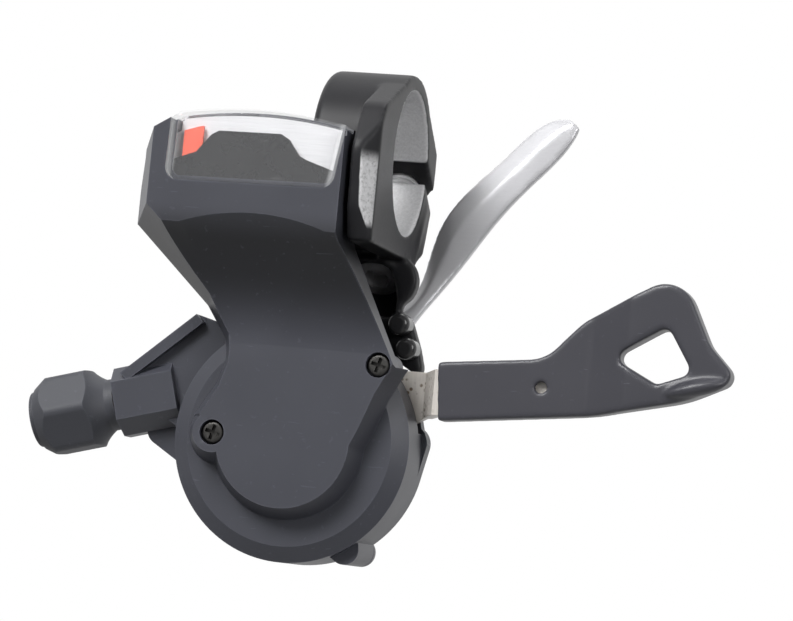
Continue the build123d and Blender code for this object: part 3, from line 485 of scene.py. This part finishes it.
def finish_piece(piece, name, body, material):
    """Name a piece, put its place into its mesh, paint it and hang it on its body."""
    activate(piece)
    bpy.ops.object.transform_apply(location=True, rotation=True, scale=True)
    piece.name = name
    piece.data.name = name
    piece.data.materials.clear()
    piece.data.materials.append(material)
    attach(piece, body)


def dress(node, material):
    """Give a CAD node that stays as it is its finish."""
    piece = frame["nodes"][node]
    piece.data.materials.clear()
    piece.data.materials.append(material)


def body_of(node):
    """The body that a node belongs to."""
    groups = frame["record"]["behaviour"]["bodies"]
    return next(body for body, members in groups.items() if node in members)


def round_edges(piece, width, segments, angle, test):
    """In edit mode, bevel the sharp edges whose middle passes a test."""
    bpy.ops.mesh.select_mode(type="EDGE")
    bpy.ops.mesh.select_all(action="DESELECT")
    bpy.ops.mesh.edges_select_sharp(sharpness=math.radians(angle))
    bpy.ops.object.mode_set(mode="OBJECT")
    points = piece.data.vertices
    for edge in piece.data.edges:
        if edge.select:
            middle = (points[edge.vertices[0]].co + points[edge.vertices[1]].co) / 2
            edge.select = test(middle / MM)
    bpy.ops.object.mode_set(mode="EDIT")
    bpy.ops.mesh.bevel(offset=width, segments=segments, affect="EDGES", clamp_overlap=True)


def everywhere(middle):
    """Passes every edge."""
    return True


def soften(node, material, *rounds, even=0.0, swelling=None):
    """A copy of a CAD node with merged flat faces and rounded edges, in the node's place.

    Each round gives a width, a number of segments, the least angle of an edge and a test of its middle
    in mm. A node that is soft all over is covered with even faces of a size, and may take in a swelling.
    """
    source = frame["nodes"][node]
    piece = bpy.data.objects.new(node + "_soft", source.data.copy())
    bpy.context.scene.collection.objects.link(piece)
    activate(piece)
    bpy.ops.object.mode_set(mode="EDIT")
    bpy.ops.mesh.select_all(action="SELECT")
    bpy.ops.mesh.remove_doubles(threshold=POINT_MERGE)
    bpy.ops.mesh.dissolve_limited(angle_limit=SOFT_MERGE if even else FLAT_MERGE)
    for width, segments, angle, test in rounds:
        round_edges(piece, width, segments, angle, test)
    bpy.ops.object.mode_set(mode="OBJECT")
    if swelling:
        swelling.select_set(True)
        bpy.ops.object.join()
    if even:
        cover = piece.modifiers.new("Even faces", "REMESH")
        cover.mode = "VOXEL"
        cover.voxel_size = even
        bpy.ops.object.modifier_apply(modifier=cover.name)
        calm = piece.modifiers.new("Calm faces", "SMOOTH")
        calm.factor = CALM_SHARE
        calm.iterations = CALM_STEPS
        bpy.ops.object.modifier_apply(modifier=calm.name)
        bpy.ops.object.shade_smooth()
    else:
        bpy.ops.object.shade_smooth_by_angle(angle=SMOOTH)
        flat = piece.modifiers.new("Flat faces", "WEIGHTED_NORMAL")
        flat.keep_sharp = True
        flat.weight = FLAT_WEIGHT
        bpy.ops.object.modifier_apply(modifier=flat.name)
    finish_piece(piece, node + "_soft", body_of(node), material)
    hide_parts(node)
    return piece


def select_faces(piece, test):
    """In edit mode, select the faces whose normal passes a test."""
    bpy.ops.mesh.select_mode(type="FACE")
    bpy.ops.mesh.select_all(action="DESELECT")
    bpy.ops.object.mode_set(mode="OBJECT")
    for face in piece.data.polygons:
        face.select = test(face.normal)
    bpy.ops.object.mode_set(mode="EDIT")


def cut_away(piece, cutter):
    """Take one mesh out of another and delete the cutter."""
    activate(piece)
    cut = piece.modifiers.new("Cut", "BOOLEAN")
    cut.operation = "DIFFERENCE"
    cut.solver = "EXACT"
    cut.object = cutter
    bpy.ops.object.modifier_apply(modifier=cut.name)
    bpy.data.objects.remove(cutter)


def cross_screw(centre, front, back, radius):
    """A pan-head screw facing the rider: rounded rim, cross recess and a slimmer shank."""
    head = SCREW_HEAD_HEIGHT
    deselect()
    bpy.ops.mesh.primitive_cylinder_add(vertices=48, radius=radius, depth=head, rotation=(math.pi / 2, 0, 0),
                                        location=(centre[0], front + head / 2, centre[1]))
    piece = bpy.context.object
    bpy.ops.object.transform_apply(location=True, rotation=True, scale=True)
    bpy.ops.object.mode_set(mode="EDIT")
    select_faces(piece, lambda normal: normal.y < -0.9)
    bpy.ops.mesh.bevel(offset=SCREW_RIM, segments=4, affect="EDGES")
    select_faces(piece, lambda normal: normal.y > 0.9)
    bpy.ops.mesh.inset(thickness=radius - SCREW_SHANK_RADIUS)
    bpy.ops.mesh.extrude_region_move(TRANSFORM_OT_translate={"value": (0, back - front - head, 0)})
    bpy.ops.object.mode_set(mode="OBJECT")
    for turn in (SCREW_TURN, SCREW_TURN + math.pi / 2):
        deselect()
        bpy.ops.mesh.primitive_cube_add(size=1, location=(centre[0], front, centre[1]))
        blade = bpy.context.object
        blade.scale = (CROSS_LENGTH * radius, 2 * CROSS_DEPTH, CROSS_WIDTH * radius)
        blade.rotation_euler = (0, turn, 0)
        bpy.ops.object.transform_apply(location=True, rotation=True, scale=True)
        cut_away(piece, blade)
    activate(piece)
    bpy.ops.object.shade_smooth_by_angle(angle=SCREW_SMOOTH)
    return piece


def bolt_thread():
    """The helical thread of the clamp bolt where it crosses the clamp's gap."""
    pitch = sizes().thread_pitch
    deselect()
    bpy.ops.mesh.primitive_circle_add(vertices=3, radius=THREAD_PROFILE * pitch,
                                      rotation=(math.pi / 2, math.pi / 2, 0))
    piece = bpy.context.object
    bpy.ops.object.transform_apply(location=True, rotation=True, scale=True)
    bpy.ops.object.mode_set(mode="EDIT")
    bpy.ops.mesh.select_all(action="SELECT")
    bpy.ops.transform.translate(value=(BOLT_RADIUS - THREAD_SINK, 0, -THREAD_TURNS * pitch / 2))
    bpy.ops.object.mode_set(mode="OBJECT")
    wind = piece.modifiers.new("Wind", "SCREW")
    wind.angle = 2 * math.pi
    wind.screw_offset = pitch
    wind.iterations = THREAD_TURNS
    wind.steps = THREAD_STEPS
    wind.render_steps = THREAD_STEPS
    wind.use_merge_vertices = True
    bpy.ops.object.modifier_apply(modifier=wind.name)
    bpy.ops.object.mode_set(mode="EDIT")
    bpy.ops.mesh.select_all(action="SELECT")
    bpy.ops.mesh.remove_doubles(threshold=THREAD_MERGE)
    bpy.ops.mesh.fill_holes(sides=3)
    bpy.ops.mesh.normals_make_consistent(inside=False)
    bpy.ops.object.mode_set(mode="OBJECT")
    piece.rotation_euler = (-(math.pi / 2 - BOLT_TILT), 0, 0)
    piece.location = BOLT_GAP_MIDDLE
    bpy.ops.object.shade_smooth_by_angle(angle=SMOOTH)
    return piece


# Operators


class SHIFTER_OT_case(bpy.types.Operator):
    """Round the edges of the display cover, the case and the back cover and give them black plastic"""

    bl_idname = "shifter.case"
    bl_label = "Cover and case"

    def execute(self, context):
        plastic = moulded_black("satin_black_moulding", colours().moulding)
        edge = sizes().soft_edge
        fine = (0.3 * edge, 2, SHARP, everywhere)
        # The cover's hollow below the display gets painted shade.
        cover = moulded_black("cover_moulding_with_painted_shade", colours().moulding, throat_shade=0.9)
        soften("display_cover", cover, (edge, 3, SHARP, self.cover_outside), fine)
        soften("main_case", plastic, (0.8 * edge, 3, SHARP, self.case_outside), fine)
        soften("back_cover", plastic, (0.4 * edge, 2, SHARP, everywhere))
        soften("indicator_base", plastic, (0.3 * edge, 2, SHARP, everywhere))
        return {"FINISHED"}

    @staticmethod
    def cover_outside(middle):
        """The cover's outer edges away from its window, screws and hollow."""
        if any(math.hypot(middle.x - x, middle.z - z) < COVER_SCREW_CLEARANCE for x, z in COVER_SCREWS):
            return False
        by_window = middle.x > WINDOW_LEFT and middle.z > WINDOW_BOTTOM
        return middle.y < COVER_EDGE_BACK and not by_window

    @staticmethod
    def case_outside(middle):
        """The edges of the adjuster's boss and its gusset."""
        on_boss = BOSS_LEFT < middle.x < BOSS_RIGHT and middle.y < BOSS_BACK
        return on_boss and middle.z > BOSS_BOTTOM


class SHIFTER_OT_clamp(bpy.types.Operator):
    """Round the clamp's edges, paint it and leave its bore bare"""

    bl_idname = "shifter.clamp"
    bl_label = "Clamp"

    def execute(self, context):
        edge = sizes().soft_edge
        soften("clamp_bracket", painted_casting(), (0.7 * edge, 3, SHARP, self.band_and_block),
               even=CAST_FACE)
        steel = turned_metal("clamp_bolt_steel", (0.50, 0.50, 0.51), 0.30, 0.5)
        dress("clamp_bolt", steel)
        bare = turned_metal("bolt_thread_steel", (0.80, 0.80, 0.81), 0.30, 0.3)
        finish_piece(bolt_thread(), "clamp_bolt_thread", "housing", bare)
        rubber = flat_plastic("black_stop_rubber", (0.030, 0.030, 0.032), 0.18)
        dress("travel_stops", rubber)
        return {"FINISHED"}

    @staticmethod
    def band_and_block(middle):
        """The edges of the band and the front block, clear of the gap and the bore."""
        from_bar = math.hypot(middle.y, middle.z)
        return middle.y < BAND_BACK and middle.z > BAND_BOTTOM and from_bar > BAND_RADIUS


class SHIFTER_OT_screws(bpy.types.Operator):
    """Model the two cross-recessed screws of the display cover"""

    bl_idname = "shifter.screws"
    bl_label = "Cover screws"

    def execute(self, context):
        low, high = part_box("cover_screws")
        radius = SCREW_HEAD_RADIUS
        right = cross_screw((high[0] - radius, high[2] - radius), low[1], high[1], radius)
        left = cross_screw((low[0] + radius, low[2] + radius), low[1], low[1] + SHORT_SCREW, radius)
        activate(right)
        left.select_set(True)
        bpy.ops.object.join()
        steel = turned_metal("blackened_screw_steel", (0.075, 0.073, 0.070), 0.36)
        finish_piece(right, "cover_screws_cross", "housing", steel)
        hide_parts("cover_screws")
        return {"FINISHED"}


class SHIFTER_OT_display(bpy.types.Operator):
    """Finish the window, the dial, its black field and the needle"""

    bl_idname = "shifter.display"
    bl_label = "Display"

    def execute(self, context):
        lens = soften("display_lens", window_plastic(), (0.2 * MM, 2, SHARP, everywhere))
        lens.visible_shadow = False
        dress("dial_plate", silver_dial())
        dress("dial_mask", flat_plastic("black_dial_print", colours().mask, 0.28))
        dress("gear_needle", flat_plastic("orange_needle_plastic", colours().needle, 0.38))
        return {"FINISHED"}


class SHIFTER_OT_levers(bpy.types.Operator):
    """Round the edges of the two levers and finish plate, grip and release lever"""

    bl_idname = "shifter.levers"
    bl_label = "Levers"

    def execute(self, context):
        grip = moulded_black("lever_black_moulding", colours().lever, 0.38, 0.9)
        soften("lever_grip", grip, (sizes().thumb_edge, 4, GRIP_SHARP, self.thumb_side), even=MOULDED_FACE,
               swelling=self.thumb_lip())
        soften("lever_plate", stamped_plate(), (0.18 * MM, 2, SHARP, everywhere))
        soften("release_lever", bright_aluminium(), even=MOULDED_FACE)
        return {"FINISHED"}

    @staticmethod
    def thumb_lip():
        """The rolled lip along the paddle's lower outer edge, a ball stretched to its length."""
        deselect()
        bpy.ops.mesh.primitive_uv_sphere_add(segments=32, ring_count=16, radius=1.0)
        lip = bpy.context.object
        lip.scale = LIP_HALF
        lip.rotation_euler = (0, -LIP_RISE, 0)
        lip.location = LIP_MIDDLE
        bpy.ops.object.transform_apply(location=True, rotation=True, scale=True)
        return lip

    @staticmethod
    def thumb_side(middle):
        """The grip's edges on the thumb's side, past its square end and clear of its small hole."""
        from_hole = math.hypot(middle.x - GRIP_HOLE[0], middle.z - GRIP_HOLE[1])
        return middle.y < THUMB_BACK and middle.x > GRIP_END and from_hole > GRIP_HOLE_CLEARANCE


class SHIFTER_OT_adjuster(bpy.types.Operator):
    """Round the adjuster's lobes and finish it"""

    bl_idname = "shifter.adjuster"
    bl_label = "Cable adjuster"

    def execute(self, context):
        black = moulded_black("adjuster_black_moulding", colours().adjuster, 0.56)
        soften("adjuster_barrel", black, (0.35 * MM, 3, SHARP, everywhere))
        dress("adjuster_sleeve", turned_metal("brass_sleeve", (0.62, 0.45, 0.18)))
        return {"FINISHED"}


class SHIFTER_OT_works(bpy.types.Operator):
    """Finish the works inside the case and the fasteners"""

    bl_idname = "shifter.works"
    bl_label = "Works and fasteners"

    def execute(self, context):
        steel = turned_metal()
        dark = turned_metal("blackened_steel", (0.10, 0.10, 0.105), 0.38)
        acetal = flat_plastic("white_acetal", (0.72, 0.72, 0.69), 0.4)
        spring = turned_metal("spring_steel", (0.30, 0.30, 0.32), 0.28)
        groups = {
            "needle_pin pivot_axle axle_washer axle_nut drive_pawl_pin holding_pawl_pin": steel,
            "ratchet_wheel drive_pawl holding_pawl": steel,
            "back_screws": dark,
            "cable_drum release_bush": acetal,
            "main_return_spring release_return_spring": spring,
        }
        for nodes, material in groups.items():
            for node in nodes.split():
                dress(node, material)
        return {"FINISHED"}


class SHIFTER_OT_stage(bpy.types.Operator):
    """Set up the floor, the white surroundings, soft lamps and the camera"""

    bl_idname = "shifter.stage"
    bl_label = "Stage"

    def execute(self, context):
        deselect()
        bpy.ops.mesh.primitive_plane_add(size=FLOOR_SIZE, location=(0, 0, CAD_BOX[0][2] - FLOOR_DROP))
        floor = context.object
        floor.name = "floor"
        p = Paint("pale_floor")
        tone = p.mix(p.noise(0.05), (0.80, 0.80, 0.80, 1), (0.84, 0.84, 0.84, 1))
        seen = p.add("ShaderNodeLightPath", output="Is Camera Ray")
        through = p.add("ShaderNodeLightPath", output="Is Transmission Ray")
        mirrored = p.add("ShaderNodeLightPath", output="Is Glossy Ray")
        glow = (seen + through + FLOOR_MIRRORED * mirrored).clamped()
        pale = p.mix(glow, (0, 0, 0, 1), FLOOR_GLOW)
        finish = p.surface(Base_Color=tone, Roughness=0.8, Emission_Color=pale, Emission_Strength=1.0)
        floor.data.materials.append(finish)
        self.surroundings(context.scene)
        self.lamps()
        self.camera(context.scene)
        context.scene.view_settings.view_transform = "Standard"
        return {"FINISHED"}

    @staticmethod
    def surroundings(scene):
        """White where seen, dim as a light, and darker on the rider's side where it is mirrored."""
        world = bpy.data.worlds.new("white_surroundings")
        world.use_nodes = True
        scene.world = world
        nodes, links = world.node_tree.nodes, world.node_tree.links
        nodes.clear()
        path = nodes.new("ShaderNodeLightPath")
        spot = nodes.new("ShaderNodeTexCoord")
        split = nodes.new("ShaderNodeSeparateXYZ")
        links.new(spot.outputs["Generated"], split.inputs[0])
        front = nodes.new("ShaderNodeMapRange")
        mirrored = nodes.new("ShaderNodeMapRange")
        for ramp, axis, levels in ((front, "Z", MIRRORED_FRONT), (mirrored, "Y", MIRRORED_ROOM)):
            ramp.interpolation_type = "SMOOTHSTEP"
            links.new(split.outputs[axis], ramp.inputs["Value"])
            for socket, value in levels.items():
                ramp.inputs[socket].default_value = value
        links.new(front.outputs[0], mirrored.inputs["To Min"])
        strength = None
        rows = (("Is Glossy Ray", mirrored.outputs[0]), ("Is Camera Ray", 1.0), ("Is Transmission Ray", 1.0))
        for ray, level in rows:
            blend = nodes.new("ShaderNodeMix")
            links.new(path.outputs[ray], blend.inputs[0])
            if strength:
                links.new(strength, blend.inputs[2])
            else:
                blend.inputs[2].default_value = ROOM_LIGHT
            if isinstance(level, float):
                blend.inputs[3].default_value = level
            else:
                links.new(level, blend.inputs[3])
            strength = blend.outputs[0]
        light = nodes.new("ShaderNodeBackground")
        light.inputs["Color"].default_value = (1, 1, 1, 1)
        links.new(strength, light.inputs["Strength"])
        links.new(light.outputs[0], nodes.new("ShaderNodeOutputWorld").inputs["Surface"])

    @staticmethod
    def lamps():
        """Three soft lamps aimed at the object."""
        for name, place, size, power, spread in LAMPS:
            bpy.ops.object.light_add(type="AREA", location=place)
            lamp = bpy.context.object
            lamp.name = name
            lamp.data.size = size
            lamp.data.energy = power
            lamp.data.spread = math.radians(spread)
            aim = Vector(LAMP_TARGET) - lamp.location
            lamp.rotation_euler = aim.to_track_quat("-Z", "Y").to_euler()

    @staticmethod
    def camera(scene):
        """The camera at the photograph's place, with its focal length."""
        lens = bpy.data.cameras.new("photo_camera")
        lens.sensor_width = SENSOR_WIDTH
        lens.lens = CAMERA_FOCAL_PIXELS / PHOTO_WIDTH * SENSOR_WIDTH
        lens.clip_start = 0.01
        camera = bpy.data.objects.new("photo_camera", lens)
        scene.collection.objects.link(camera)
        axes = Matrix((CAMERA_RIGHT, CAMERA_UP, CAMERA_BACK)).transposed().to_4x4()
        camera.matrix_world = Matrix.Translation(CAMERA_PLACE) @ axes
        scene.camera = camera


class SHIFTER_PT_panel(bpy.types.Panel):
    """Sidebar panel with the sizes, the colours and a button for each group of pieces"""

    bl_idname = "SHIFTER_PT_panel"
    bl_label = "Trigger gear shifter"
    bl_space_type = "VIEW_3D"
    bl_region_type = "UI"
    bl_category = "Shifter"

    def draw(self, context):
        for group in (context.scene.shifter_sizes, context.scene.shifter_colours):
            for name in group.bl_rna.properties.keys():
                if name not in ("rna_type", "name"):
                    self.layout.prop(group, name)
        for operator in OPERATORS:
            self.layout.operator(operator.bl_idname)


OPERATORS = (SHIFTER_OT_case, SHIFTER_OT_clamp, SHIFTER_OT_screws, SHIFTER_OT_display, SHIFTER_OT_levers,
             SHIFTER_OT_adjuster, SHIFTER_OT_works, SHIFTER_OT_stage)
CLASSES = (ShifterColours, ShifterSizes) + OPERATORS + (SHIFTER_PT_panel,)


def register():
    for cls in CLASSES:
        bpy.utils.register_class(cls)
    bpy.types.Scene.shifter_colours = bpy.props.PointerProperty(type=ShifterColours)
    bpy.types.Scene.shifter_sizes = bpy.props.PointerProperty(type=ShifterSizes)


def unregister():
    del bpy.types.Scene.shifter_sizes
    del bpy.types.Scene.shifter_colours
    for cls in reversed(CLASSES):
        bpy.utils.unregister_class(cls)


def main():
    register()
    bpy.ops.shifter.case()
    bpy.ops.shifter.clamp()
    bpy.ops.shifter.screws()
    bpy.ops.shifter.display()
    bpy.ops.shifter.levers()
    bpy.ops.shifter.adjuster()
    bpy.ops.shifter.works()
    bpy.ops.shifter.stage()
    bpy.context.view_layer.update()


if __name__ == "__main__":
    main()
